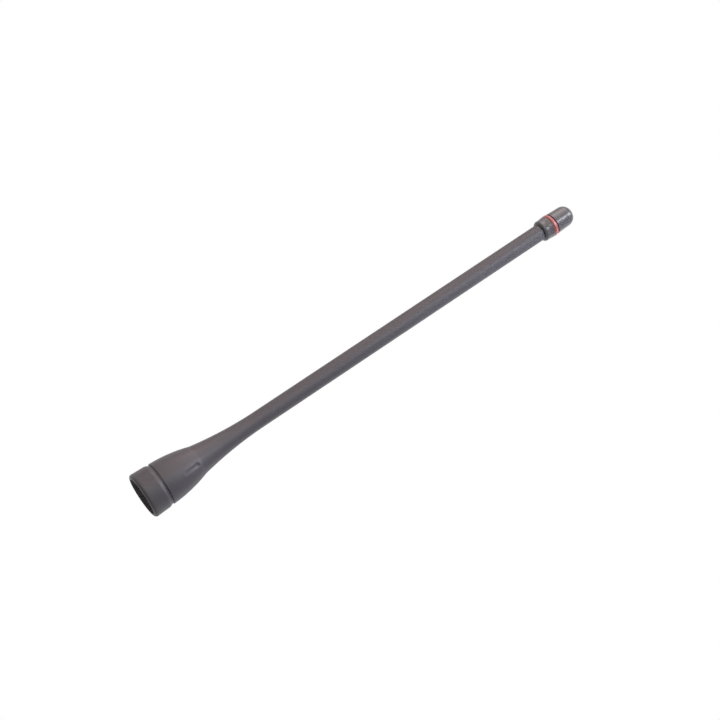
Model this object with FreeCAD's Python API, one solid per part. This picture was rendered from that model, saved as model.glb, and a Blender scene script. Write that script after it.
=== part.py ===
import FreeCAD, Part
import math
import os

# Whip antenna for a handheld UHF radio. Lengths in millimetres, angles in degrees.
# It stands on the rim of its skirt: the origin is the rim's centre and +Z points to the tip.

# Overall
overall_length = 175.0

# Skirt of the base cup
skirt_radius = 7.6
skirt_wall = 1.2
skirt_draft = 0.2
lip_round = 0.95
lip_flat = 0.25
band_height = 6.4
band_chamfer = 0.33
band_chamfer_height = 0.8
recess_depth = 5.4
ledge_width = 0.7
well_depth = 1.5

# Groove between the band and the sheath
groove_width = 0.75
groove_depth = 0.3

# Hexagonal neck of the base cup, inside the sheath, and the wider head on it
neck_across_flats = 7.6
neck_length = 8.6
head_across_flats = 9.0
head_thickness = 2.4
head_setback = 1.4

# Contact stud
stud_radius = 3.175
stud_setback = 1.8
stud_chamfer = 0.55
relief_width = 0.45
relief_depth = 0.5
flange_across_flats = 8.0
flange_thickness = 1.2
flange_bevel = 0.35
shank_radius = 2.4
shank_length = 5.6
shank_groove_offset = 2.0
shank_groove_width = 1.4
shank_groove_depth = 0.4
barrel_radius = 1.7
barrel_length = 6.4
barrel_socket_depth = 6.0

# Radiator and the ferrule on its end
cable_radius = 0.8
cable_end_setback = 10.6
ferrule_wall = 0.35
ferrule_length = 3.6
ferrule_end = 0.6

# Sheath
foot_setback = 0.35
shoulder_height = 20.5
shoulder_radius = 4.95
flare_bulge = 0.48
taper_end_height = 43.0
taper_hollow = 0.49
shaft_radius = 2.83
spigot_length = 6.8

# Grip recesses in the sheath's flare
mark_count = 4
mark_phase = 16.4
mark_length = 6.0
mark_width = 2.0
mark_depth = 0.4
mark_draft = 0.25
mark_below_shoulder = 0.9

# Tip cap
cap_height = 13.8
cap_fit = 0.02
collar_radius = 3.73
cap_foot_round = 0.88
dome_height = 3.75

# Colour ring
ring_offset = 4.0
ring_width = 1.6
ring_radius = 3.94
ring_crown = 0.16
ring_groove_depth = 0.38
ring_play = 0.15

# Levels worked out from the sizes above
well_floor = recess_depth + well_depth
foot_height = band_height + groove_width
foot_radius = skirt_radius - foot_setback
groove_radius = foot_radius - groove_depth
neck_top = foot_height + neck_length
flange_face = well_floor - flange_thickness
shank_top = well_floor + shank_length
barrel_top = shank_top + barrel_length
cable_start = barrel_top - barrel_socket_depth
cable_end = overall_length - cable_end_setback
cap_foot = overall_length - cap_height
spigot_top = cap_foot + spigot_length
ring_foot = cap_foot + ring_offset
ring_top = ring_foot + ring_width
groove_floor_radius = collar_radius - ring_groove_depth
dome_foot = overall_length - dome_height

AXIS = FreeCAD.Vector(0, 0, 1)
CENTRE = FreeCAD.Vector(0, 0, 0)
FULL_TURN = 360.0
HALF = 0.5


class Outline:
    """An outline in the plane of radius and height, turned about the antenna's axis."""

    def __init__(self, radius, height):
        self.start = FreeCAD.Vector(radius, 0, height)
        self.end = self.start
        self.edges = []

    def line_to(self, radius, height):
        """Add a straight stretch."""
        point = FreeCAD.Vector(radius, 0, height)
        self.edges.append(Part.LineSegment(self.end, point).toShape())
        self.end = point
        return self

    def arc_to(self, radius, height, rise):
        """Add an arc that stands off its chord by rise, to the right of the way it runs."""
        point = FreeCAD.Vector(radius, 0, height)
        chord = point - self.end
        side = FreeCAD.Vector(chord.z, 0, -chord.x).normalize()
        middle = (self.end + point) * HALF + side * rise
        self.edges.append(Part.Arc(self.end, middle, point).toShape())
        self.end = point
        return self

    def eased_corner(self, radius, height, ease):
        """Add a shallow bevel and a tangent arc from a flat end up to a side, from radius - ease outwards."""
        corner = FreeCAD.Vector(radius - ease, 0, height + ease)
        bevel_end = corner + FreeCAD.Vector(ease, 0, -ease) * math.cos(math.pi / 4)
        middle = corner + FreeCAD.Vector(math.cos(math.pi / 8), 0, -math.sin(math.pi / 8)) * ease
        side = corner + FreeCAD.Vector(ease, 0, 0)
        self.line_to(bevel_end.x, bevel_end.z)
        self.edges.append(Part.Arc(self.end, middle, side).toShape())
        self.end = side
        return self

    def dome_to_axis(self, height):
        """Add a ball-shaped end up to the axis."""
        radius = self.end.x
        rise = height - self.end.z
        ball = (radius * radius + rise * rise) / (2 * rise)
        centre = FreeCAD.Vector(0, 0, height - ball)
        top = FreeCAD.Vector(0, 0, height)
        middle_way = ((self.end - centre).normalize() + AXIS).normalize()
        self.edges.append(Part.Arc(self.end, centre + middle_way * ball, top).toShape())
        self.end = top
        return self

    def turned(self):
        """Close the outline and turn it into a solid."""
        if (self.end - self.start).Length > 0:
            self.edges.append(Part.LineSegment(self.end, self.start).toShape())
        face = Part.Face(Part.Wire(self.edges))
        return face.revolve(CENTRE, AXIS, FULL_TURN)


def turned_rod(radius, bottom, top):
    """A plain round rod on the antenna's axis."""
    return Part.makeCylinder(radius, top - bottom, FreeCAD.Vector(0, 0, bottom), AXIS)


def hexagon_prism(across_flats, bottom, top):
    """A hexagonal bar on the antenna's axis, with a corner towards +X."""
    corner = across_flats * HALF / math.cos(math.pi / 6)
    corners = []
    for index in range(7):
        angle = index * math.pi / 3
        corners.append(FreeCAD.Vector(corner * math.cos(angle), corner * math.sin(angle), bottom))
    face = Part.Face(Part.makePolygon(corners))
    return face.extrude(AXIS * (top - bottom))


def stud_flange():
    """Hexagonal flange whose corners are bevelled on the side that faces the mouth."""
    corner = flange_across_flats * HALF / math.cos(math.pi / 6)
    bevel_radius = corner - flange_bevel
    bevelled = Outline(0, flange_face)
    bevelled.line_to(bevel_radius, flange_face)
    bevelled.line_to(corner, flange_face + flange_bevel * math.tan(math.pi / 6))
    bevelled.line_to(corner, well_floor)
    bevelled.line_to(0, well_floor)
    return hexagon_prism(flange_across_flats, flange_face, well_floor).common(bevelled.turned())


def stud_turning():
    """The round parts of the stud in one outline: end, thread, relief, shank and crimp barrel."""
    thread_top = flange_face - relief_width
    shank = Outline(0, stud_setback)
    shank.line_to(stud_radius - stud_chamfer, stud_setback)
    shank.line_to(stud_radius, stud_setback + stud_chamfer)
    shank.line_to(stud_radius, thread_top)
    shank.line_to(stud_radius - relief_depth, thread_top)
    shank.line_to(stud_radius - relief_depth, flange_face + flange_thickness * HALF)
    shank.line_to(shank_radius, flange_face + flange_thickness * HALF)
    groove_foot = well_floor + shank_groove_offset
    groove_top = groove_foot + shank_groove_width
    shank.line_to(shank_radius, groove_foot)
    shank.line_to(shank_radius - shank_groove_depth, groove_foot)
    shank.line_to(shank_radius - shank_groove_depth, groove_top)
    shank.line_to(shank_radius, groove_top)
    shank.line_to(shank_radius, shank_top)
    shank.line_to(barrel_radius, shank_top)
    shank.line_to(barrel_radius, barrel_top)
    shank.line_to(0, barrel_top)
    return shank.turned()


def stud_outside():
    """The contact stud before its socket for the cable is drilled."""
    return stud_turning().fuse(stud_flange()).removeSplitter()


def contact_stud():
    """Turned contact stud with a socket that the whip cable is crimped in."""
    return stud_outside().cut(turned_rod(cable_radius, cable_start, barrel_top))


def radiator():
    """Straight whip cable from the stud's socket to the ferrule near the tip."""
    return turned_rod(cable_radius, cable_start, cable_end)


def ferrule_outside():
    """The closed ferrule as a plug, before its bore."""
    radius = cable_radius + ferrule_wall
    return turned_rod(radius, cable_end + ferrule_end - ferrule_length, cable_end + ferrule_end)


def cable_end_ferrule():
    """Closed ferrule crimped on the cable's upper end."""
    return ferrule_outside().cut(radiator())


def keyed_neck():
    """Hexagonal neck of the base cup, which stops the sheath turning, with a head that holds it on."""
    neck = hexagon_prism(neck_across_flats, foot_height, neck_top)
    head_top = neck_top - head_setback
    head = hexagon_prism(head_across_flats, head_top - head_thickness, head_top)
    return neck.fuse(head)


def skirt():
    """Skirt of the base cup: lip, band, groove, and the recess with its ledge and well."""
    bore = skirt_radius - skirt_wall
    lip = min(lip_round, skirt_wall - lip_flat)
    band_radius = skirt_radius - skirt_draft
    body = Outline(bore, 0)
    body.line_to(skirt_radius - lip, 0)
    body.eased_corner(skirt_radius, 0, lip)
    body.line_to(band_radius, band_height - band_chamfer_height)
    body.line_to(band_radius - band_chamfer, band_height)
    body.line_to(groove_radius, band_height)
    body.line_to(groove_radius, foot_height)
    body.line_to(0, foot_height)
    body.line_to(0, well_floor)
    body.line_to(bore - ledge_width, well_floor)
    body.line_to(bore - ledge_width, recess_depth)
    body.line_to(bore, recess_depth)
    return body.turned()


def cup_outside():
    """The base cup before the stud's shank is moulded in."""
    return skirt().fuse(keyed_neck()).removeSplitter()


def base_cup():
    """Hard moulded cup around the stud's shank."""
    return cup_outside().cut(stud_outside())


def flare_arc():
    """Centre and radius of the arc that the sheath's flare follows."""
    foot = FreeCAD.Vector(foot_radius, 0, foot_height)
    shoulder = FreeCAD.Vector(shoulder_radius, 0, shoulder_height)
    chord = shoulder - foot
    half = chord.Length * HALF
    radius = (half * half + flare_bulge * flare_bulge) / (2 * flare_bulge)
    outward = FreeCAD.Vector(chord.z, 0, -chord.x).normalize()
    centre = (foot + shoulder) * HALF - outward * (radius - flare_bulge)
    return centre, radius


def flare_radius(height):
    """Radius of the sheath's flare at a height."""
    centre, radius = flare_arc()
    rise = height - centre.z
    return centre.x + math.sqrt(radius * radius - rise * rise)


def sheath_outside():
    """Outer form of the sheath: flare, shoulder line, hollow taper, shaft and spigot."""
    body = Outline(0, foot_height)
    body.line_to(foot_radius, foot_height)
    body.arc_to(shoulder_radius, shoulder_height, flare_bulge)
    body.arc_to(shaft_radius, taper_end_height, -taper_hollow)
    body.line_to(shaft_radius, spigot_top)
    body.line_to(0, spigot_top)
    return body.turned()


def slot_wire(length, width, level):
    """A long slot with round ends, lying flat at a level."""
    straight = (length - width) * HALF
    side = width * HALF
    corners = [
        FreeCAD.Vector(-straight, -side, level),
        FreeCAD.Vector(straight, -side, level),
        FreeCAD.Vector(straight, side, level),
        FreeCAD.Vector(-straight, side, level),
    ]
    ends = [
        FreeCAD.Vector(straight + side, 0, level),
        FreeCAD.Vector(-straight - side, 0, level),
    ]
    edges = [
        Part.LineSegment(corners[0], corners[1]).toShape(),
        Part.Arc(corners[1], ends[0], corners[2]).toShape(),
        Part.LineSegment(corners[2], corners[3]).toShape(),
        Part.Arc(corners[3], ends[1], corners[0]).toShape(),
    ]
    return Part.Wire(edges)


def grip_mark():
    """The form that one grip recess is cut with, on the side that faces +X."""
    top = shoulder_height - mark_below_shoulder
    bottom = top - mark_length
    top_radius = flare_radius(top)
    bottom_radius = flare_radius(bottom)
    lean = math.degrees(math.atan2(bottom_radius - top_radius, mark_length))
    floor = slot_wire(mark_length - 2 * mark_draft, mark_width - 2 * mark_draft, -mark_depth)
    mouth = slot_wire(mark_length + 2 * mark_draft, mark_width + 2 * mark_draft, mark_depth)
    form = Part.makeLoft([floor, mouth], True, True)
    form.rotate(CENTRE, FreeCAD.Vector(0, 1, 0), FULL_TURN / 4 - lean)
    middle = (top + bottom) * HALF
    form.translate(FreeCAD.Vector(flare_radius(middle), 0, middle))
    return form


def sheath():
    """Soft cover moulded over the neck, the crimp barrel and the cable."""
    marks = []
    for index in range(mark_count):
        mark = grip_mark()
        mark.rotate(CENTRE, AXIS, mark_phase + FULL_TURN / mark_count * index)
        marks.append(mark)
    body = sheath_outside().cut(Part.makeCompound(marks))
    core = keyed_neck().multiFuse([stud_outside(), radiator(), ferrule_outside()])
    return body.cut(core)


def tip_cap():
    """Glossy cap: rounded foot, collar, ring groove and domed end over the spigot."""
    socket = shaft_radius + cap_fit
    foot = min(cap_foot_round, collar_radius - socket)
    body = Outline(socket, cap_foot)
    body.eased_corner(collar_radius, cap_foot, foot)
    body.line_to(collar_radius, ring_foot)
    body.line_to(groove_floor_radius, ring_foot)
    body.line_to(groove_floor_radius, ring_top + ring_play)
    body.line_to(collar_radius, ring_top + ring_play)
    body.line_to(collar_radius, dome_foot)
    body.dome_to_axis(overall_length)
    body.line_to(0, spigot_top)
    body.line_to(socket, spigot_top)
    return body.turned()


def colour_ring():
    """Elastic ring with a rounded outside, seated in the cap's groove."""
    edge = ring_radius - ring_crown
    body = Outline(groove_floor_radius, ring_foot)
    body.line_to(edge, ring_foot)
    body.arc_to(edge, ring_top, ring_crown)
    body.line_to(groove_floor_radius, ring_top)
    return body.turned()


PIECES = {
    "base_cup": base_cup,
    "contact_stud": contact_stud,
    "radiator": radiator,
    "cable_end_ferrule": cable_end_ferrule,
    "sheath": sheath,
    "tip_cap": tip_cap,
    "colour_ring": colour_ring,
}


def write_parts():
    """Build every piece and write it as its own file."""
    os.makedirs("parts", exist_ok=True)
    for name, build in PIECES.items():
        shape = build()
        solids = shape.Solids
        if len(solids) != 1 or not shape.isValid():
            raise ValueError(f"{name} has {len(solids)} solids, valid {shape.isValid()}")
        solids[0].exportStep(os.path.join("parts", f"{name}.step"))
        box = shape.optimalBoundingBox()
        print(f"{name}: volume {shape.Volume:.2f}, z {box.ZMin:.3f} to {box.ZMax:.3f}, x to {box.XMax:.3f}")


write_parts()
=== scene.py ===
import enum
import logging
import math
from dataclasses import dataclass

import bpy
from mathutils import Matrix, Vector


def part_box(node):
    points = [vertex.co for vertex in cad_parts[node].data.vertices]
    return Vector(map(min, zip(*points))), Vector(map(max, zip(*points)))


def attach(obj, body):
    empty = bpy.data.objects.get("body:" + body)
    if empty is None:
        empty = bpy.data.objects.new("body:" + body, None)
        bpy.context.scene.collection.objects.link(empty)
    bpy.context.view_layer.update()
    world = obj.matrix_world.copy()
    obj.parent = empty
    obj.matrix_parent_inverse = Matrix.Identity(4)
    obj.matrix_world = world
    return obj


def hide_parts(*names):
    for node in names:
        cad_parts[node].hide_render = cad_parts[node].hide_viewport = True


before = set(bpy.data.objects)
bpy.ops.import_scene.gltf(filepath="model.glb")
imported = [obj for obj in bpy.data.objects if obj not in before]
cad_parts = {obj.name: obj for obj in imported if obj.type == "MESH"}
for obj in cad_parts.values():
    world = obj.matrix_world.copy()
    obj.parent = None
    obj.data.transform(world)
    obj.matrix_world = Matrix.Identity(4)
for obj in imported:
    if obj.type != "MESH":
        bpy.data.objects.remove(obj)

# Whip antenna for a handheld radio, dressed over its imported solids.
# Sizes in the classes are millimetres, as on a drawing; meshes are made in metres.

LOG = logging.getLogger("antenna")
MM = 0.001
FULL_TURN = 2 * math.pi
HEXAGON_SIDE = math.pi / 3
SHARP_ANGLE = math.radians(40)
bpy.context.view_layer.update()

Socket = bpy.types.NodeSocket
Source = Socket | bpy.types.Node | bpy.types.Material | float | int | bool | tuple
Triple = tuple[float, float, float]
Span = tuple[float, float]


class Side(enum.Enum):
    """Which end of a node's box a level is read from."""

    LOW = 0
    HIGH = 1


class Shape(enum.Enum):
    """The section of a turned or milled piece at one station of its outline."""

    ROUND = "round"
    HEXAGON = "hexagon"


class Effect(enum.Enum):
    """What a lamp's light does to the object."""

    FULL = "lights and is mirrored"
    SOFT = "lights without a mirror image"
    GLINT = "only shows in gloss"


def level(node: str, side: Side) -> float:
    """Height of a node's lower or upper end in millimetres."""
    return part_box(node)[side.value][2] / MM


def reach(node: str) -> float:
    """Largest radius about the axis that stays inside a turned node's box, in millimetres."""
    low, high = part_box(node)[:2]
    return min(-low[0], -low[1], high[0], high[1]) / MM


def quarter_rise(radius: float) -> float:
    """How far a quarter round of a radius stands off its chord."""
    return radius * (1 - math.cos(math.pi / 4))


@dataclass(frozen=True)
class Station:
    """One point of an outline, with the way that its corner and its section are made."""

    radius: float
    height: float
    ease: float = 0.0
    shape: Shape = Shape.ROUND
    across_flats: float = 0.0

    def at(self, radius: float, height: float) -> "Station":
        """The same kind of station at another place, with no eased corner."""
        return Station(radius, height, 0.0, self.shape, self.across_flats)

    def point(self) -> Vector:
        """The station's radius and height."""
        return Vector((self.radius, self.height))

    def section(self, angle: float) -> float:
        """Radius of the station's section in one direction.

        Args:
            angle: Direction about the axis in radians.

        Returns:
            The radius in millimetres.
        """
        if self.shape is Shape.ROUND:
            return self.radius
        from_flat = (angle % HEXAGON_SIDE) - HEXAGON_SIDE / 2
        return min(self.radius, self.across_flats / 2 / math.cos(from_flat))


class Outline:
    """An outline in the plane of radius and height, from which a piece is turned."""

    EASE_STEPS = 4
    EASE_LIMIT = 0.45

    def __init__(self, radius: float, height: float, ease: float = 0.0) -> None:
        """Start the outline at a radius and a height in millimetres."""
        self.stations = [Station(radius, height, ease)]

    def to(self, radius: float, height: float, ease: float = 0.0, steps: int = 1) -> None:
        """Add a straight stretch.

        Args:
            radius: Radius at its end.
            height: Height at its end.
            ease: How far the corner there is rounded back along both sides.
            steps: Number of equal pieces that the stretch is made of.
        """
        start = self.stations[-1]
        for step in range(1, steps):
            share = step / steps
            middle = (
                start.radius + (radius - start.radius) * share,
                start.height + (height - start.height) * share,
            )
            self.stations.append(Station(*middle))
        self.stations.append(Station(radius, height, ease))

    def hexagon(self, across_flats: float, height: float, bevel: float = 0.0) -> None:
        """Add a hexagonal section with corners towards +X, cut back by a bevel."""
        corner = across_flats / 2 / math.cos(HEXAGON_SIDE / 2) - bevel
        self.stations.append(Station(corner, height, 0.0, Shape.HEXAGON, across_flats))

    def arc(self, radius: float, height: float, rise: float, steps: int) -> None:
        """Add an arc that stands off its chord by rise, to the right of the way it runs.

        Args:
            radius: Radius at its end.
            height: Height at its end.
            rise: Distance from the chord's middle to the arc, negative to the left.
            steps: Number of straight pieces that stand for the arc.
        """
        start = self.stations[-1].point()
        end = Vector((radius, height))
        half = (end - start).length / 2
        bow = (half * half + rise * rise) / (2 * abs(rise))
        across = Vector((end.y - start.y, start.x - end.x)).normalized()
        centre = (start + end) / 2 + across * math.copysign(1, rise) * (abs(rise) - bow)
        spread = 2 * math.atan2(half, bow - abs(rise))
        turn = math.copysign(spread, rise) / steps
        arm = start - centre
        for step in range(1, steps):
            point = centre + Matrix.Rotation(turn * step, 2) @ arm
            self.stations.append(Station(point.x, point.y))
        self.stations.append(Station(end.x, end.y))

    def eased(self, closed: bool) -> list[Station]:
        """The outline with each eased corner rounded.

        Args:
            closed: Whether the last station joins the first.

        Returns:
            The stations of the rounded outline.
        """
        count = len(self.stations)
        rounded: list[Station] = []
        for index, station in enumerate(self.stations):
            inner = closed or 0 < index < count - 1
            if station.ease == 0.0 or not inner:
                rounded.append(station)
                continue
            corner = station.point()
            back = self.stations[index - 1].point() - corner
            on = self.stations[(index + 1) % count].point() - corner
            first = corner + back.normalized() * min(station.ease, back.length * self.EASE_LIMIT)
            last = corner + on.normalized() * min(station.ease, on.length * self.EASE_LIMIT)
            for step in range(self.EASE_STEPS + 1):
                share = step / self.EASE_STEPS
                pull = corner * 2 * share * (1 - share)
                point = first * (1 - share) ** 2 + pull + last * share**2
                rounded.append(station.at(point.x, point.y))
        return rounded


def shaded(mesh: bpy.types.Mesh) -> None:
    """Shade a mesh softly, with crisp edges where it turns sharply."""
    mesh.shade_smooth()
    mesh.set_sharp_from_angle(angle=SHARP_ANGLE)


def placed(name: str, mesh: bpy.types.Mesh) -> bpy.types.Object:
    """Link a mesh into the scene as an object at the origin.

    Args:
        name: Name of the piece.
        mesh: Its mesh, in metres and in place.

    Returns:
        The new object.
    """
    shaded(mesh)
    piece = bpy.data.objects.new(name, mesh)
    bpy.context.scene.collection.objects.link(piece)
    return piece


def turned_piece(
    name: str, outline: Outline, segments: int, closed: bool = False
) -> bpy.types.Object:
    """Turn an outline about the antenna's axis into a closed mesh object.

    Args:
        name: Name of the piece.
        outline: Outline that runs with the piece's material on its left, seen with +Z up.
        segments: Number of steps round the axis, a multiple of six.
        closed: Whether the outline is a loop clear of the axis.

    Returns:
        The object, at the origin, with its place in its mesh.
    """
    points: list[Triple] = []
    rings: list[range] = []
    for station in outline.eased(closed):
        steps = 1 if station.radius == 0.0 else segments
        rings.append(range(len(points), len(points) + steps))
        for step in range(steps):
            angle = FULL_TURN * step / segments
            radius = station.section(angle) * MM
            across, along = radius * math.cos(angle), radius * math.sin(angle)
            points.append((across, along, station.height * MM))
    pairs = list(zip(rings, rings[1:]))
    if closed:
        pairs.append((rings[-1], rings[0]))
    faces: list[tuple[int, ...]] = []
    for low, high in pairs:
        for step in range(segments):
            following = (step + 1) % segments
            if len(low) == 1:
                faces.append((low[0], high[following], high[step]))
            elif len(high) == 1:
                faces.append((low[step], low[following], high[0]))
            else:
                faces.append((low[step], low[following], high[following], high[step]))
    mesh = bpy.data.meshes.new(name)
    mesh.from_pydata(points, [], faces)
    mesh.validate()
    return placed(name, mesh)


def seat(piece: bpy.types.Object, node: str) -> None:
    """Make a piece stand for a node and ride on the antenna.

    Args:
        piece: The dressed piece.
        node: The node that it stands for.
    """
    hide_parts(node)
    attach(piece, "root")
    LOG.info("%s stands for %s, %d faces", piece.name, node, len(piece.data.polygons))


class Board:
    """A node tree with short ways to add nodes and to feed them."""

    MIX_SHARE = 0
    MIX_FIRST_COLOUR = 6
    MIX_SECOND_COLOUR = 7
    MIX_COLOUR = 2

    def __init__(self, tree: bpy.types.NodeTree) -> None:
        """Take a tree to build in."""
        self.tree = tree

    def feed(self, target: Socket, source: Source) -> None:
        """Link a source to an input, or set the input to a plain value.

        Args:
            target: The input.
            source: A socket, a node for its first output, or the plain value.
        """
        if isinstance(source, bpy.types.Node):
            source = source.outputs[0]
        if isinstance(source, Socket):
            self.tree.links.new(source, target)
        else:
            target.default_value = source

    def node(self, kind: str, **inputs: Source) -> bpy.types.Node:
        """Add a node and feed its inputs.

        Args:
            kind: Blender's name of the node.
            **inputs: What feeds them, by input name with underscores for spaces.

        Returns:
            The node.
        """
        node = self.tree.nodes.new(kind)
        for name, source in inputs.items():
            self.feed(node.inputs[name.replace("_", " ")], source)
        return node

    def math(self, operation: str, *sources: Source) -> Socket:
        """Combine sockets or numbers by one operation of the Math node.

        Args:
            operation: Blender's name of the operation.
            *sources: One to three sockets or numbers.

        Returns:
            The result's socket.
        """
        node = self.node("ShaderNodeMath")
        node.operation = operation
        for target, source in zip(node.inputs, sources):
            self.feed(target, source)
        return node.outputs[0]

    def times(self, first: Source, second: Source) -> Socket:
        """One value times another."""
        return self.math("MULTIPLY", first, second)

    def minus(self, first: Source, second: Source) -> Socket:
        """One value less another."""
        return self.math("SUBTRACT", first, second)

    def length(self, across: Socket, along: Socket) -> Socket:
        """Length of the line with these two sides."""
        squares = self.math("ADD", self.times(across, across), self.times(along, along))
        return self.math("SQRT", squares)

    def parts(self, place: Source) -> list[Socket]:
        """The three coordinates of a place."""
        return list(self.node("ShaderNodeSeparateXYZ", Vector=place).outputs)

    def mapped(
        self, value: Source, start: Source, end: Source, low: Source = 0.0, high: Source = 1.0
    ) -> bpy.types.Node:
        """Map a value from start..end to low..high, and hold it there.

        Args:
            value: The value.
            start: Where the result is low.
            end: Where the result is high.
            low: Result at the start.
            high: Result at the end.

        Returns:
            The node, with the result as its first output.
        """
        node = self.node("ShaderNodeMapRange", Value=value, From_Min=start, From_Max=end)
        self.feed(node.inputs["To Min"], low)
        self.feed(node.inputs["To Max"], high)
        return node

    def blend(self, share: Source, first: Source, second: Source) -> Socket:
        """Mix two colours.

        Args:
            share: Share of the second colour.
            first: Colour or socket.
            second: Colour or socket.

        Returns:
            The mixed colour's socket.
        """
        node = self.node("ShaderNodeMix")
        node.data_type = "RGBA"
        self.feed(node.inputs[self.MIX_SHARE], share)
        self.feed(node.inputs[self.MIX_FIRST_COLOUR], first)
        self.feed(node.inputs[self.MIX_SECOND_COLOUR], second)
        return node.outputs[self.MIX_COLOUR]


class GeometryTree(Board):
    """A Geometry Nodes tree with named sizes, which ends in real geometry with a material."""

    def __init__(self, name: str) -> None:
        """Start an empty tree with a geometry input and output."""
        super().__init__(bpy.data.node_groups.new(name, "GeometryNodeTree"))
        for way in ("INPUT", "OUTPUT"):
            self.tree.interface.new_socket(
                "Geometry", in_out=way, socket_type="NodeSocketGeometry"
            )
        self.values: dict[str, float | int] = {}
        self.entry = self.node("NodeGroupInput")

    def size(self, name: str, value: float | int) -> Socket:
        """Add a named length, angle, share or number of things to the tree.

        Args:
            name: Name of the input.
            value: Its value, in metres, in radians, as a share or a whole number.

        Returns:
            The socket that gives the value inside the tree.
        """
        kind = "NodeSocketInt" if isinstance(value, int) else "NodeSocketFloat"
        socket = self.tree.interface.new_socket(name, in_out="INPUT", socket_type=kind)
        self.values[socket.identifier] = value
        return self.entry.outputs[name]

    def close(self, geometry: bpy.types.Node, finish: bpy.types.Material) -> None:
        """End the tree in real geometry with a material.

        Args:
            geometry: The node that gives what the tree has made.
            finish: Its material.
        """
        real = self.node("GeometryNodeRealizeInstances", Geometry=geometry)
        dressed = self.node("GeometryNodeSetMaterial", Geometry=real, Material=finish)
        self.feed(self.node("NodeGroupOutput").inputs[0], dressed)

    def run(self, piece: bpy.types.Object) -> None:
        """Put a piece's mesh through the tree and keep the result as its plain mesh.

        Args:
            piece: The object whose mesh goes in and is replaced.
        """
        modifier = piece.modifiers.new(self.tree.name, "NODES")
        modifier.node_group = self.tree
        for identifier, value in self.values.items():
            modifier[identifier] = value
        graph = bpy.context.evaluated_depsgraph_get()
        result = bpy.data.meshes.new_from_object(piece.evaluated_get(graph))
        piece.modifiers.clear()
        result.name = piece.name
        shaded(result)
        piece.data = result


@dataclass(frozen=True)
class Noise:
    """Smooth noise: blotches in a metre, finer layers, relief in millimetres, and stretch."""

    scale: float
    detail: float
    depth: float = 0.0
    stretch: Triple = (1.0, 1.0, 1.0)


class Sheet(Board):
    """A material's node sheet, built from object coordinates in metres."""

    NOISE_LOW = 0.3
    NOISE_HIGH = 0.7

    def __init__(self, name: str) -> None:
        """Start a material with a plain principled surface."""
        self.material = bpy.data.materials.new(name)
        self.material.use_nodes = True
        super().__init__(self.material.node_tree)
        self.surface = self.tree.nodes["Principled BSDF"]
        self.place = self.node("ShaderNodeTexCoord").outputs["Object"]

    def dress(self, **inputs: Source) -> None:
        """Feed the surface's inputs, by name with underscores for spaces."""
        for name, source in inputs.items():
            self.feed(self.surface.inputs[name.replace("_", " ")], source)

    def noise(self, noise: Noise) -> Socket:
        """The value of a noise, about 0.5."""
        place = self.node("ShaderNodeMapping", Vector=self.place, Scale=noise.stretch)
        sizes = {"Scale": noise.scale, "Detail": noise.detail}
        return self.node("ShaderNodeTexNoise", Vector=place, **sizes).outputs["Fac"]

    def spread(self, noise: Socket, low: float, high: float) -> bpy.types.Node:
        """Spread the middle of a noise's values over low..high."""
        return self.mapped(noise, self.NOISE_LOW, self.NOISE_HIGH, low, high)

    def bump(self, noise: Noise) -> tuple[Socket, float]:
        """A noise's value and the depth of its relief."""
        return self.noise(noise), noise.depth

    def relief(self, *layers: tuple[Socket, float]) -> None:
        """Lay bumps over each other.

        Args:
            *layers: Height socket and its depth in millimetres, coarse first.
        """
        normal = None
        for height, depth in layers:
            bump = self.node("ShaderNodeBump", Strength=1.0, Distance=depth * MM, Height=height)
            if normal:
                self.feed(bump.inputs["Normal"], normal)
            normal = bump.outputs["Normal"]
        self.dress(Normal=normal)

    def split(self) -> tuple[Socket, Socket]:
        """Distance from the antenna's axis and height above its foot, in metres."""
        across, along, height = self.parts(self.place)
        return self.length(across, along), height


def rgba(colour: Triple) -> tuple[float, float, float, float]:
    """An opaque colour for a socket, from its linear red, green and blue."""
    return (*colour, 1.0)


@dataclass(frozen=True)
class Finish:
    """What every finish has: its name, its two colours and the range of its roughness."""

    name: str
    colour: Triple
    cloud: Triple
    roughness: Span

    def paint(self, sheet: Sheet, share: Source, gloss: Socket) -> None:
        """Colour a sheet by the cloud's share, and let its roughness follow a noise."""
        colour = sheet.blend(share, rgba(self.colour), rgba(self.cloud))
        sheet.dress(Base_Color=colour, Roughness=sheet.spread(gloss, *self.roughness))


@dataclass(frozen=True)
class MouldedPlastic(Finish):
    """Matt moulding from a spark-eroded tool: fine grain, slow cloudiness, rubbed gloss."""

    clouds: Noise = Noise(140.0, 2.0)
    cloud_share: float = 0.65
    specks: Noise = Noise(2600.0, 3.0)
    speck_share: float = 0.35
    rubbing: Noise = Noise(420.0, 3.0)
    pebbles: Noise = Noise(700.0, 1.0, 0.0128)
    grain: Noise = Noise(7500.0, 2.0, 0.008)
    specular: float = 0.5

    def build(self) -> bpy.types.Material:
        """Make the material.

        Returns:
            The finished material.
        """
        sheet = Sheet(self.name)
        slow = sheet.spread(sheet.noise(self.clouds), 0.0, self.cloud_share)
        fine = sheet.spread(sheet.noise(self.specks), 0.0, self.speck_share)
        self.paint(sheet, sheet.math("ADD", slow, fine), sheet.noise(self.rubbing))
        sheet.dress(Specular_IOR_Level=self.specular)
        sheet.relief(sheet.bump(self.pebbles), sheet.bump(self.grain))
        return sheet.material


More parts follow.
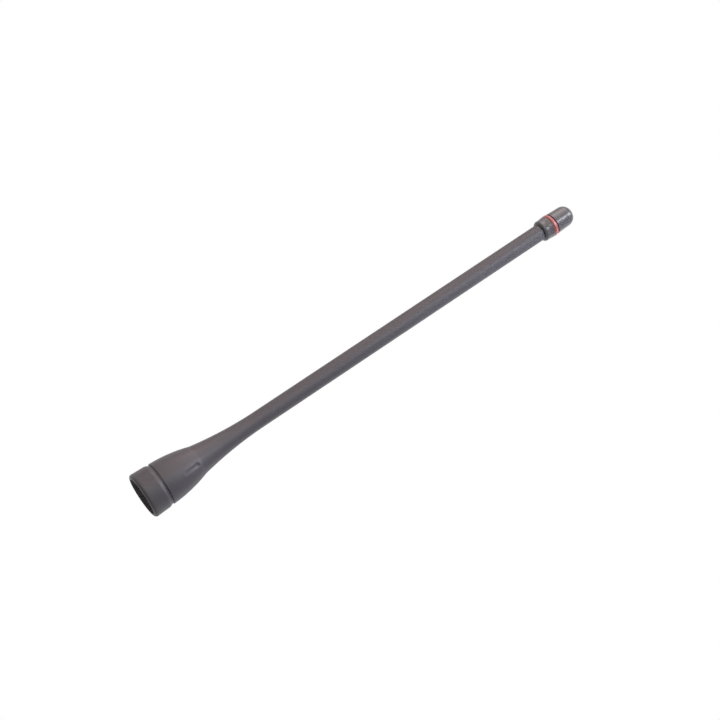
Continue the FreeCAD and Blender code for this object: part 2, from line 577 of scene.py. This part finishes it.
@dataclass(frozen=True)
class SoftCover(Finish):
    """Soft satin cover: fine grain, faint marks along the pull, slow cloudiness."""

    pull: Noise = Noise(900.0, 2.0, 0.004, (1.0, 1.0, 0.06))
    pull_share: float = 0.3
    clouds: Noise = Noise(90.0, 2.0)
    cloud_share: float = 0.7
    grain: Noise = Noise(6200.0, 2.0, 0.005)
    specular: float = 0.5
    sheen: float = 0.06
    sheen_roughness: float = 0.4

    def build(self) -> bpy.types.Material:
        """Make the material.

        Returns:
            The finished material.
        """
        sheet = Sheet(self.name)
        drawn = sheet.noise(self.pull)
        slow = sheet.spread(sheet.noise(self.clouds), 0.0, self.cloud_share)
        streaks = sheet.spread(drawn, 0.0, self.pull_share)
        self.paint(sheet, sheet.math("ADD", slow, streaks), drawn)
        sheet.dress(Specular_IOR_Level=self.specular)
        sheet.dress(Sheen_Weight=self.sheen, Sheen_Roughness=self.sheen_roughness)
        sheet.relief((drawn, self.pull.depth), sheet.bump(self.grain))
        return sheet.material


@dataclass(frozen=True)
class GlossMoulding(Finish):
    """Polished moulding with fine handling marks in its gloss."""

    coat: float
    coat_roughness: float
    clouds: Noise = Noise(260.0, 3.0)
    rubbing: Noise = Noise(1500.0, 4.0, stretch=(1.0, 1.0, 0.3))
    waves: Noise = Noise(420.0, 1.0, 0.0014)
    polish: Noise = Noise(3800.0, 2.0, 0.0004)

    def build(self) -> bpy.types.Material:
        """Make the material.

        Returns:
            The finished material.
        """
        sheet = Sheet(self.name)
        share = sheet.spread(sheet.noise(self.clouds), 0.0, 1.0)
        self.paint(sheet, share, sheet.noise(self.rubbing))
        sheet.dress(Coat_Weight=self.coat, Coat_Roughness=self.coat_roughness)
        sheet.relief(sheet.bump(self.waves), sheet.bump(self.polish))
        return sheet.material


@dataclass(frozen=True)
class TurnedMetal(Finish):
    """Turned and plated metal: fine tool rings on faces and sides, slightly cloudy plate."""

    ring_pitch: float = 0.09
    ring_depth: float = 0.0012
    wander: Noise = Noise(1200.0, 2.0, 0.04)
    clouds: Noise = Noise(900.0, 3.0)
    rubbing: Noise = Noise(1600.0, 3.0)
    grain: Noise = Noise(2500.0, 2.0, 0.002)

    def build(self) -> bpy.types.Material:
        """Make the material.

        Returns:
            The finished material.
        """
        sheet = Sheet(self.name)
        radius, height = sheet.split()
        wander = sheet.times(sheet.noise(self.wander), self.wander.depth * MM)
        across = sheet.math("ADD", sheet.math("ADD", radius, height), wander)
        tool = sheet.math("SINE", sheet.times(across, FULL_TURN / (self.ring_pitch * MM)))
        share = sheet.spread(sheet.noise(self.clouds), 0.0, 1.0)
        self.paint(sheet, share, sheet.noise(self.rubbing))
        sheet.dress(Metallic=1.0)
        sheet.relief((tool, self.ring_depth), sheet.bump(self.grain))
        return sheet.material


@dataclass
class Fits:
    """Sizes at which neighbouring pieces meet, the same in each of them."""

    recess_depth: float = 5.4
    well_depth: float = 1.5
    neck_across_flats: float = 7.6
    head_across_flats: float = 9.0
    head_thickness: float = 2.4
    head_setback: float = 1.4
    shank_radius: float = 2.4
    shank_length: float = 5.6
    barrel_radius: float = 1.7
    cable_radius: float = 0.8
    neck_top: float = level("base_cup", Side.HIGH)
    barrel_top: float = level("contact_stud", Side.HIGH)

    @property
    def well_floor(self) -> float:
        """Height of the floor that the stud's flange lies on."""
        return self.recess_depth + self.well_depth

    @property
    def shank_top(self) -> float:
        """Height at which the stud's shank steps down to its barrel."""
        return self.well_floor + self.shank_length

    def neck(self, foot: float) -> list[Span]:
        """Width across flats and height of each section up the neck and its wider head.

        Args:
            foot: Height at which the neck begins.

        Returns:
            The sections, from the foot up.
        """
        neck, head = self.neck_across_flats, self.head_across_flats
        head_top = self.neck_top - self.head_setback
        head_foot = head_top - self.head_thickness
        lower = [(neck, foot), (neck, head_foot), (head, head_foot)]
        return lower + [(head, head_top), (neck, head_top), (neck, self.neck_top)]


@dataclass
class SkirtedBase(Fits):
    """Hard base: skirt with its rounded lip and recess, groove, and the keyed neck."""

    wall: float = 1.2
    draft: float = 0.2
    lip_round: float = 0.95
    lip_steps: int = 10
    band_height: float = 6.4
    band_chamfer: float = 0.33
    band_chamfer_height: float = 0.8
    band_ease: float = 0.25
    band_steps: int = 8
    bore_steps: int = 6
    ledge_width: float = 0.7
    groove_width: float = 0.75
    groove_depth: float = 0.3
    foot_setback: float = 0.35
    edge: float = 0.08
    segments: int = 288
    radius: float = reach("base_cup")
    finish: MouldedPlastic = MouldedPlastic(
        "base_moulding", (0.086, 0.075, 0.082), (0.102, 0.090, 0.098), (0.46, 0.56)
    )

    def outline(self) -> Outline:
        """The cup's section, from the shank's hole out to the lip and up over the neck.

        Returns:
            The closed outline.
        """
        bore = self.radius - self.wall
        well = bore - self.ledge_width
        band = self.radius - self.draft
        groove = self.radius - self.foot_setback - self.groove_depth
        foot_height = self.band_height + self.groove_width
        body = Outline(self.shank_radius, self.well_floor)
        body.to(well, self.well_floor, self.edge)
        body.to(well, self.recess_depth, self.edge)
        body.to(bore, self.recess_depth, self.edge)
        body.to(bore, 0.0, self.edge, self.bore_steps)
        body.to(self.radius - self.lip_round, 0.0)
        body.arc(self.radius, self.lip_round, quarter_rise(self.lip_round), self.lip_steps)
        chamfer_foot = self.band_height - self.band_chamfer_height
        body.to(band, chamfer_foot, self.band_ease, self.band_steps)
        body.to(band - self.band_chamfer, self.band_height, self.edge)
        body.to(groove, self.band_height, self.edge)
        body.to(groove, foot_height, self.edge)
        for across_flats, height in self.neck(foot_height):
            body.hexagon(across_flats, height)
        body.to(self.barrel_radius, self.neck_top)
        body.to(self.barrel_radius, self.shank_top)
        body.to(self.shank_radius, self.shank_top)
        return body

    def build(self) -> None:
        """Turn the cup, give it its finish and seat it."""
        piece = turned_piece("skirted_base", self.outline(), self.segments, closed=True)
        piece.data.materials.append(self.finish.build())
        seat(piece, "base_cup")


@dataclass
class ThreadedStud(Fits):
    """Contact stud: threaded end, relief, hexagonal flange, shank and crimp barrel."""

    radius: float = 3.175
    chamfer: float = 0.55
    chamfer_steps: int = 12
    end_edge: float = 0.04
    dimple_radius: float = 0.65
    dimple_depth: float = 0.25
    pitch: float = 0.79
    thread_depth: float = 0.42
    crest_share: float = 0.12
    root_share: float = 0.86
    cut_margin: float = 0.01
    relief_width: float = 0.45
    relief_depth: float = 0.5
    relief_flange_ease: float = 0.1
    relief_thread_ease: float = 0.05
    across_flats: float = 8.0
    flange_thickness: float = 1.2
    flange_bevel: float = 0.35
    bevel_steps: int = 4
    shank_groove_offset: float = 2.0
    shank_groove_width: float = 1.4
    shank_groove_depth: float = 0.4
    barrel_edge: float = 0.15
    socket_depth: float = 6.0
    rows_per_turn: int = 18
    segments: int = 192
    end: float = level("contact_stud", Side.LOW)
    finish: TurnedMetal = TurnedMetal(
        "nickel_plate", (0.80, 0.76, 0.71), (0.88, 0.84, 0.79), (0.14, 0.24)
    )

    @property
    def flange_face(self) -> float:
        """Height of the flange's face."""
        return self.well_floor - self.flange_thickness

    @property
    def thread_top(self) -> float:
        """Height at which the thread runs out into its relief."""
        return self.flange_face - self.relief_width

    def barrel_outline(self) -> Outline:
        """The section from the socket for the cable down to the flange's seat.

        Returns:
            The first part of the stud's outline.
        """
        groove_foot = self.well_floor + self.shank_groove_offset
        groove_top = groove_foot + self.shank_groove_width
        groove_radius = self.shank_radius - self.shank_groove_depth
        socket_floor = self.barrel_top - self.socket_depth
        body = Outline(0.0, socket_floor)
        body.to(self.cable_radius, socket_floor)
        body.to(self.cable_radius, self.barrel_top)
        body.to(self.barrel_radius, self.barrel_top, self.barrel_edge)
        body.to(self.barrel_radius, self.shank_top)
        body.to(self.shank_radius, self.shank_top)
        body.to(self.shank_radius, groove_top)
        body.to(groove_radius, groove_top)
        body.to(groove_radius, groove_foot)
        body.to(self.shank_radius, groove_foot)
        body.to(self.shank_radius, self.well_floor)
        return body

    def outline(self) -> Outline:
        """The stud's section, from its end face to the socket for the cable.

        Returns:
            The whole outline.
        """
        neck = self.radius - self.relief_depth
        bevel_height = self.flange_face + self.flange_bevel * math.tan(math.pi / 6)
        turns = (self.thread_top - self.end - self.chamfer) / self.pitch
        rows = math.ceil(turns * self.rows_per_turn)
        body = self.barrel_outline()
        body.hexagon(self.across_flats, self.well_floor)
        for step in range(self.bevel_steps + 1):
            share = step / self.bevel_steps
            height = bevel_height + (self.flange_face - bevel_height) * share
            body.hexagon(self.across_flats, height, self.flange_bevel * share)
        body.to(neck, self.flange_face, self.relief_flange_ease)
        body.to(neck, self.thread_top, self.relief_thread_ease)
        body.to(self.radius, self.thread_top)
        body.to(self.radius, self.end + self.chamfer, steps=rows)
        body.to(self.radius - self.chamfer, self.end, self.end_edge, self.chamfer_steps)
        body.to(self.dimple_radius, self.end, self.end_edge)
        body.to(0.0, self.end + self.dimple_depth)
        body.stations.reverse()
        return body

    def thread(self, finish: bpy.types.Material) -> GeometryTree:
        """Tree that cuts a right-hand thread into whatever stands out past its root.

        Args:
            finish: Material of the stud.

        Returns:
            The tree, with the thread's sizes as inputs.
        """
        tree = GeometryTree("stud_thread")
        major = tree.size("Major radius", self.radius * MM)
        depth = tree.size("Thread depth", self.thread_depth * MM)
        pitch = tree.size("Pitch", self.pitch * MM)
        top = tree.size("Thread top", (self.thread_top + self.cut_margin) * MM)
        across, along, height = tree.parts(tree.node("GeometryNodeInputPosition"))
        radius = tree.length(across, along)
        turn = tree.math("DIVIDE", tree.math("ARCTAN2", along, across), FULL_TURN)
        phase = tree.math("FRACT", tree.minus(tree.math("DIVIDE", height, pitch), turn))
        wave = tree.math("ABSOLUTE", tree.minus(tree.times(phase, 2.0), 1.0))
        flank = tree.mapped(wave, self.crest_share, self.root_share)
        limit = tree.minus(major, tree.times(depth, flank))
        off_axis = tree.math("MAXIMUM", radius, self.cut_margin * MM)
        kept = tree.math("DIVIDE", tree.math("MINIMUM", radius, limit), off_axis)
        moved = tree.node(
            "ShaderNodeCombineXYZ", X=tree.times(across, kept), Y=tree.times(along, kept), Z=height
        )
        cut = tree.node(
            "GeometryNodeSetPosition",
            Geometry=tree.entry.outputs["Geometry"],
            Selection=tree.math("LESS_THAN", height, top),
            Position=moved,
        )
        tree.close(cut, finish)
        return tree

    def build(self) -> None:
        """Turn the stud, cut its thread, give it its plate and seat it."""
        piece = turned_piece("threaded_stud", self.outline(), self.segments)
        self.thread(self.finish.build()).run(piece)
        seat(piece, "contact_stud")


@dataclass
class WhipCable(Fits):
    """Stranded steel whip with its crimped end ferrule."""

    strand_count: int = 6
    lay: float = 8.0
    strand_sides: int = 8
    steps_per_turn: int = 12
    foot: float = level("radiator", Side.LOW)
    top: float = level("radiator", Side.HIGH)
    steel: TurnedMetal = TurnedMetal(
        "whip_steel", (0.50, 0.50, 0.51), (0.60, 0.60, 0.61), (0.26, 0.38)
    )
    brass: TurnedMetal = TurnedMetal(
        "crimped_brass", (0.66, 0.48, 0.22), (0.76, 0.58, 0.30), (0.22, 0.34)
    )

    def strands(self, finish: bpy.types.Material) -> GeometryTree:
        """Tree that lays strands round a core.

        Args:
            finish: Material of the strands.

        Returns:
            The tree, with the cable's sizes as inputs.
        """
        length = (self.top - self.foot) * MM
        strand = self.cable_radius / 3 * MM
        tree = GeometryTree("cable_strands")
        count = tree.size("Strands", self.strand_count)
        strand_radius = tree.size("Strand radius", strand)
        path_radius = tree.size("Path radius", 2 * strand)
        long = tree.size("Length", length - 2 * strand)
        turns = tree.size("Turns", length / (self.lay * MM))
        foot = tree.size("Foot", self.foot * MM + strand)
        helix = tree.node("GeometryNodeCurveSpiral", Resolution=self.steps_per_turn)
        sizes = {"Rotations": turns, "Height": long}
        sizes |= {"Start Radius": path_radius, "End Radius": path_radius}
        for name, size in sizes.items():
            tree.feed(helix.inputs[name], size)
        core_end = tree.node("ShaderNodeCombineXYZ", Z=long)
        core = tree.node("GeometryNodeCurvePrimitiveLine", End=core_end)
        section = tree.node(
            "GeometryNodeCurvePrimitiveCircle", Resolution=self.strand_sides, Radius=strand_radius
        )
        laid, core_laid = (
            tree.node(
                "GeometryNodeCurveToMesh", Curve=path, Profile_Curve=section, Fill_Caps=True
            )
            for path in (helix, core)
        )
        spots = tree.node("GeometryNodePoints", Count=count)
        index = tree.node("GeometryNodeInputIndex")
        angle = tree.math("DIVIDE", tree.times(index, FULL_TURN), count)
        turn = tree.node("ShaderNodeCombineXYZ", Z=angle)
        set_out = tree.node(
            "GeometryNodeInstanceOnPoints", Points=spots, Instance=laid, Rotation=turn
        )
        joined = tree.node("GeometryNodeJoinGeometry")
        for made in (set_out, core_laid):
            tree.feed(joined.inputs[0], made)
        lift = tree.node("ShaderNodeCombineXYZ", Z=foot)
        tree.close(tree.node("GeometryNodeTransform", Geometry=joined, Translation=lift), finish)
        return tree

    def build(self) -> None:
        """Lay the strands, seat them, and give the ferrule its brass."""
        piece = placed("whip_strands", bpy.data.meshes.new("whip_strands"))
        self.strands(self.steel.build()).run(piece)
        seat(piece, "radiator")
        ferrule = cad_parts["cable_end_ferrule"]
        ferrule.data.materials.clear()
        ferrule.data.materials.append(self.brass.build())
        LOG.info("%s keeps its solid", ferrule.name)


@dataclass
class GripSheath(Fits):
    """Soft one-piece cover: flare with grip recesses, shoulder, hollow taper, shaft and spigot."""

    foot_radius: float = 7.25
    foot_ease: float = 0.22
    shoulder_height: float = 20.5
    shoulder_radius: float = 4.95
    flare_bulge: float = 0.48
    flare_steps: int = 110
    taper_end_height: float = 43.0
    taper_hollow: float = 0.49
    taper_steps: int = 60
    shaft_radius: float = 2.83
    shaft_steps: int = 40
    edge: float = 0.1
    ferrule_radius: float = 1.15
    mark_count: int = 4
    mark_phase: float = 14.2
    mark_length: float = 6.0
    mark_width: float = 1.8
    mark_depth: float = 0.28
    mark_foot_share: float = 0.3
    mark_soft: float = 0.14
    mark_wall_run: float = 0.86
    mark_below_shoulder: float = 0.9
    segments: int = 384
    foot: float = level("sheath", Side.LOW)
    top: float = level("sheath", Side.HIGH)
    ferrule_foot: float = level("cable_end_ferrule", Side.LOW)
    ferrule_top: float = level("cable_end_ferrule", Side.HIGH)
    finish: SoftCover = SoftCover(
        "cover_rubber", (0.088, 0.077, 0.084), (0.104, 0.092, 0.100), (0.45, 0.54)
    )

    def outline(self) -> Outline:
        """The cover's section, from the ferrule's seat down the cavity and up the outside.

        Returns:
            The outline.
        """
        body = Outline(0.0, self.ferrule_top)
        body.to(self.ferrule_radius, self.ferrule_top)
        body.to(self.ferrule_radius, self.ferrule_foot)
        body.to(self.cable_radius, self.ferrule_foot)
        body.to(self.cable_radius, self.barrel_top)
        body.to(self.barrel_radius, self.barrel_top)
        body.to(self.barrel_radius, self.neck_top)
        for across_flats, height in reversed(self.neck(self.foot)):
            body.hexagon(across_flats, height)
        body.to(self.foot_radius, self.foot, self.foot_ease)
        bulge, hollow = self.flare_bulge, -self.taper_hollow
        body.arc(self.shoulder_radius, self.shoulder_height, bulge, self.flare_steps)
        body.arc(self.shaft_radius, self.taper_end_height, hollow, self.taper_steps)
        body.to(self.shaft_radius, self.top, self.edge, self.shaft_steps)
        body.to(0.0, self.top)
        return body

    def recesses(self, finish: bpy.types.Material) -> GeometryTree:
        """Tree that presses long round-ended recesses into the flare's outside.

        Args:
            finish: Material of the cover.

        Returns:
            The tree, with the recesses' sizes as inputs.
        """
        middle_height = self.shoulder_height - self.mark_below_shoulder - self.mark_length / 2
        straight_half = (self.mark_length - self.mark_width) / 2
        tree = GeometryTree("grip_recesses")
        count = tree.size("Recesses", self.mark_count)
        phase = tree.size("Phase", math.radians(self.mark_phase))
        middle = tree.size("Middle height", middle_height * MM)
        straight = tree.size("Straight half length", straight_half * MM)
        half = tree.size("Half width", self.mark_width / 2 * MM)
        soft = tree.size("Edge softness", self.mark_soft * MM)
        wall_run = tree.size("Wall run", self.mark_wall_run * MM)
        depth = tree.size("Depth", self.mark_depth * MM)
        foot_depth = tree.size(
            "Depth at the foot end", self.mark_depth * self.mark_foot_share * MM
        )
        place = tree.node("GeometryNodeInputPosition")
        normal = tree.node("GeometryNodeInputNormal")
        across, along, height = tree.parts(place)
        half_turn = tree.math("DIVIDE", math.pi, count)
        angle = tree.minus(tree.math("ARCTAN2", along, across), phase)
        wrapped = tree.math("WRAP", angle, half_turn, tree.times(half_turn, -1.0))
        side = tree.times(wrapped, tree.length(across, along))
        above = tree.minus(height, middle)
        beyond = tree.math("MAXIMUM", tree.minus(tree.math("ABSOLUTE", above), straight), 0.0)
        within = tree.minus(half, tree.length(side, beyond))
        inside = tree.mapped(within, tree.times(soft, -1.0), wall_run)
        inside.interpolation_type = "SMOOTHSTEP"
        slope = tree.mapped(above, tree.times(straight, -1.0), straight, foot_depth, depth)
        outward = tree.node("ShaderNodeVectorMath")
        outward.operation = "DOT_PRODUCT"
        tree.feed(outward.inputs[0], normal)
        tree.feed(outward.inputs[1], place)
        facing_out = tree.math("GREATER_THAN", outward.outputs["Value"], 0.0)
        push = tree.times(tree.times(slope, inside), facing_out)
        inward = tree.node("ShaderNodeVectorMath")
        inward.operation = "SCALE"
        tree.feed(inward.inputs[0], normal)
        tree.feed(inward.inputs["Scale"], tree.times(push, -1.0))
        pressed = tree.node(
            "GeometryNodeSetPosition", Geometry=tree.entry.outputs["Geometry"], Offset=inward
        )
        tree.close(pressed, finish)
        return tree

    def build(self) -> None:
        """Turn the cover, press its recesses, give it its finish and seat it."""
        piece = turned_piece("grip_sheath", self.outline(), self.segments)
        self.recesses(self.finish.build()).run(piece)
        seat(piece, "sheath")


@dataclass
class TipEnd:
    """Glossy cap over the cover's spigot, with the colour ring in its groove."""

    socket_radius: float = 2.85
    spigot_length: float = 6.8
    foot_round: float = 0.88
    foot_land: float = 0.01
    foot_steps: int = 12
    waist_offset: float = 2.1
    waist_ease: float = 0.6
    waist_steps: int = 3
    collar_flare: float = 0.16
    end_foot_step: float = 0.05
    end_taper: float = 0.12
    wall_steps: int = 6
    dome_height: float = 3.3
    dome_fullness: float = 0.94
    dome_steps: int = 32
    ring_offset: float = 3.7
    ring_width: float = 1.72
    ring_crown: float = 0.46
    ring_ease: float = 0.12
    ring_play: float = 0.14
    crown_steps: int = 14
    groove_depth: float = 0.38
    edge: float = 0.07
    segments: int = 216
    radius: float = reach("tip_cap")
    ring_radius: float = reach("colour_ring")
    foot: float = level("tip_cap", Side.LOW)
    top: float = level("tip_cap", Side.HIGH)
    gloss: GlossMoulding = GlossMoulding(
        "cap_moulding", (0.054, 0.047, 0.052), (0.064, 0.056, 0.062), (0.33, 0.38), 0.5, 0.27
    )
    red: GlossMoulding = GlossMoulding(
        "ring_moulding", (0.50, 0.084, 0.074), (0.58, 0.108, 0.096), (0.38, 0.44), 0.9, 0.40
    )

    @property
    def ring_foot(self) -> float:
        """Height of the ring's lower side."""
        return self.foot + self.ring_offset

    @property
    def ring_top(self) -> float:
        """Height of the ring's upper side."""
        return self.ring_foot + self.ring_width

    @property
    def groove_radius(self) -> float:
        """Radius of the floor of the ring's groove."""
        return self.radius - self.groove_depth

    def cap_outline(self) -> Outline:
        """The cap's section, from its socket down to its foot and up to its dome.

        Returns:
            The outline.
        """
        socket_top = self.foot + self.spigot_length
        round_top = self.foot + self.foot_round
        groove_top = self.ring_top + self.ring_play
        end_radius = self.radius - self.end_taper
        body = Outline(0.0, socket_top)
        body.to(self.socket_radius, socket_top)
        body.to(self.socket_radius, self.foot)
        body.to(self.radius - self.foot_round + self.foot_land, self.foot)
        body.arc(self.radius, round_top, quarter_rise(self.foot_round), self.foot_steps)
        body.to(self.radius, self.foot + self.waist_offset, self.waist_ease, self.waist_steps)
        body.to(self.radius + self.collar_flare, self.ring_foot, self.edge, self.wall_steps)
        body.to(self.groove_radius, self.ring_foot, self.edge)
        body.to(self.groove_radius, groove_top, self.edge)
        body.to(self.radius + self.end_foot_step, groove_top, self.edge)
        body.to(end_radius, self.top - self.dome_height, steps=self.wall_steps)
        for step in range(1, self.dome_steps):
            turn = math.pi / 2 * step / self.dome_steps
            radius = end_radius * math.cos(turn) ** self.dome_fullness
            below = self.dome_height * (1 - math.sin(turn) ** self.dome_fullness)
            body.to(radius, self.top - below)
        body.to(0.0, self.top)
        return body

    def ring_outline(self) -> Outline:
        """The ring's section: flat inside, crowned outside.

        Returns:
            The closed outline.
        """
        crown_foot = self.ring_radius - self.ring_crown
        body = Outline(self.groove_radius, self.ring_foot, self.edge)
        body.to(crown_foot, self.ring_foot, self.ring_ease)
        body.arc(crown_foot, self.ring_top, self.ring_crown, self.crown_steps)
        body.to(self.groove_radius, self.ring_top, self.edge)
        return body

    def build(self) -> None:
        """Turn the cap and the ring, give them their finishes and seat them."""
        cap = turned_piece("tip_moulding", self.cap_outline(), self.segments)
        cap.data.materials.append(self.gloss.build())
        seat(cap, "tip_cap")
        ring = turned_piece("marker_ring", self.ring_outline(), self.segments, closed=True)
        ring.data.materials.append(self.red.build())
        seat(ring, "colour_ring")


@dataclass
class PhotoCamera:
    """The photograph's camera: a 70 mm view from beside the foot, rolled over to the right."""

    lens: float = 70.0
    sensor: float = 36.0
    elevation: float = -17.685
    roll: float = 56.274
    distance: float = 451.672
    aim_height: float = 80.0
    slide_right: float = 3.18
    slide_up: float = -0.49
    nearest: float = 10.0
    farthest: float = 20000.0

    def axes(self) -> tuple[Vector, Vector, Vector]:
        """The camera's right, up and forward directions.

        Returns:
            Three unit vectors.
        """
        tilt = math.radians(self.elevation)
        roll = math.radians(self.roll)
        forward = Vector((0.0, math.cos(tilt), -math.sin(tilt)))
        level_right = Vector((1.0, 0.0, 0.0))
        level_up = level_right.cross(forward)
        right = level_right * math.cos(roll) + level_up * math.sin(roll)
        up = level_up * math.cos(roll) - level_right * math.sin(roll)
        return right, up, forward

    def build(self) -> None:
        """Make the camera and use it."""
        right, up, forward = self.axes()
        middle = Vector((0.0, 0.0, self.aim_height)) - forward * self.distance
        eye = (middle + right * self.slide_right + up * self.slide_up) * MM
        data = bpy.data.cameras.new("photo_camera")
        data.lens = self.lens
        data.sensor_width = self.sensor
        data.clip_start = self.nearest * MM
        data.clip_end = self.farthest * MM
        camera = bpy.data.objects.new("photo_camera", data)
        turned = Matrix((right, up, -forward)).transposed().to_4x4()
        camera.matrix_world = Matrix.Translation(eye) @ turned
        bpy.context.scene.collection.objects.link(camera)
        bpy.context.scene.camera = camera


@dataclass(frozen=True)
class SoftLamp:
    """One soft rectangular lamp, in metres and watts, aimed at a height on the axis."""

    name: str
    place: Triple
    aim_height: float
    size: Span
    power: float
    colour: Triple
    effect: Effect = Effect.FULL

    def build(self) -> None:
        """Hang the lamp, facing its aim and out of the camera's sight."""
        data = bpy.data.lights.new(self.name, "AREA")
        data.shape = "RECTANGLE"
        data.size, data.size_y = self.size
        data.energy = self.power
        data.color = self.colour
        lamp = bpy.data.objects.new(self.name, data)
        lamp.location = self.place
        facing = Vector((0.0, 0.0, self.aim_height)) - Vector(self.place)
        lamp.rotation_euler = facing.to_track_quat("-Z", "Y").to_euler()
        lamp.visible_camera = False
        lamp.visible_glossy = self.effect is not Effect.SOFT
        lamp.visible_diffuse = self.effect is not Effect.GLINT
        bpy.context.scene.collection.objects.link(lamp)


LAMPS = (
    SoftLamp("key", (-0.92, -0.62, 1.08), 0.10, (1.4, 0.9), 8.4, (1.0, 0.93, 0.98)),
    SoftLamp("key_left", (-1.20, -0.30, 0.75), 0.10, (1.0, 1.0), 5.9, (1.0, 0.78, 0.74)),
    SoftLamp("strip", (-0.06, -0.90, 0.27), 0.06, (0.20, 0.36), 1.3, (0.88, 0.95, 1.0), Effect.GLINT),
    SoftLamp("strip_left", (-0.50, -0.80, 0.27), 0.06, (0.40, 0.40), 1.5, (1.0, 0.77, 0.66), Effect.GLINT),
    SoftLamp("tip_strip", (0.09, -0.42, 0.66), 0.168, (0.16, 0.52), 4.2, (0.88, 0.90, 1.0), Effect.GLINT),
    SoftLamp("tip_side", (0.20, -0.11, 0.31), 0.14, (0.12, 0.12), 0.84, (0.73, 0.82, 1.0), Effect.SOFT),
    SoftLamp("fill", (0.9, 0.5, 0.5), 0.08, (0.9, 0.9), 0.95, (0.94, 0.97, 1.0)),
)


@dataclass
class Studio:
    """Pale floor, white surroundings and soft lamps. Its lengths are metres."""

    floor_half: float = 3.0
    floor_paint: Triple = (0.92, 0.92, 0.91)
    fade_start: float = 0.15
    fade_end: float = 0.75
    surround: Triple = (0.10, 0.10, 0.11)
    white: Triple = (1.0, 1.0, 1.0)
    lamps: tuple[SoftLamp, ...] = LAMPS

    def floor(self) -> None:
        """Lay a pale floor that keeps the shadow, fades to white and only shows from above."""
        half = self.floor_half
        corners = [(-half, -half, 0.0), (half, -half, 0.0), (half, half, 0.0), (-half, half, 0.0)]
        mesh = bpy.data.meshes.new("studio_floor")
        mesh.from_pydata(corners, [], [(0, 1, 2, 3)])
        plane = bpy.data.objects.new("studio_floor", mesh)
        bpy.context.scene.collection.objects.link(plane)
        sheet = Sheet("pale_floor")
        sheet.tree.nodes.remove(sheet.surface)
        paint = sheet.node("ShaderNodeBsdfDiffuse", Color=rgba(self.floor_paint))
        white = sheet.node("ShaderNodeEmission", Color=rgba(self.white))
        clear = sheet.node("ShaderNodeBsdfTransparent")
        radius, _ = sheet.split()
        fading = sheet.mapped(radius, self.fade_start, self.fade_end)
        from_below = sheet.node("ShaderNodeNewGeometry").outputs["Backfacing"]
        camera_ray = sheet.node("ShaderNodeLightPath").outputs["Is Camera Ray"]
        open_side = sheet.math("MAXIMUM", from_below, sheet.minus(1.0, camera_ray))
        painted = sheet.node("ShaderNodeMixShader", Fac=fading)
        shown = sheet.node("ShaderNodeMixShader", Fac=open_side)
        for mix, first, second in ((painted, paint, white), (shown, painted, clear)):
            sheet.feed(mix.inputs[1], first)
            sheet.feed(mix.inputs[2], second)
        sheet.feed(sheet.tree.nodes["Material Output"].inputs["Surface"], shown)
        mesh.materials.append(sheet.material)

    def surroundings(self) -> None:
        """White for what is seen or mirrored, softer for what lights the object."""
        world = bpy.data.worlds.new("white_sweep")
        bpy.context.scene.world = world
        world.use_nodes = True
        board = Board(world.node_tree)
        board.tree.nodes.clear()
        rays = board.node("ShaderNodeLightPath").outputs
        seen = board.math("MAXIMUM", rays["Is Camera Ray"], rays["Is Glossy Ray"])
        any_seen = board.math("MAXIMUM", seen, rays["Is Transmission Ray"])
        tint = board.blend(any_seen, rgba(self.surround), rgba(self.white))
        light = board.node("ShaderNodeBackground", Color=tint)
        board.node("ShaderNodeOutputWorld", Surface=light)

    def build(self) -> None:
        """Make the floor, the surroundings and the lamps."""
        self.floor()
        self.surroundings()
        for lamp in self.lamps:
            lamp.build()
        bpy.context.scene.view_settings.view_transform = "Standard"


def main() -> None:
    """Build the antenna's pieces in order, then the camera and the studio."""
    logging.basicConfig(level=logging.INFO, format="%(name)s: %(message)s")
    for assembly in (SkirtedBase(), ThreadedStud(), WhipCable(), GripSheath(), TipEnd()):
        assembly.build()
    PhotoCamera().build()
    Studio().build()


if __name__ == "__main__":
    main()
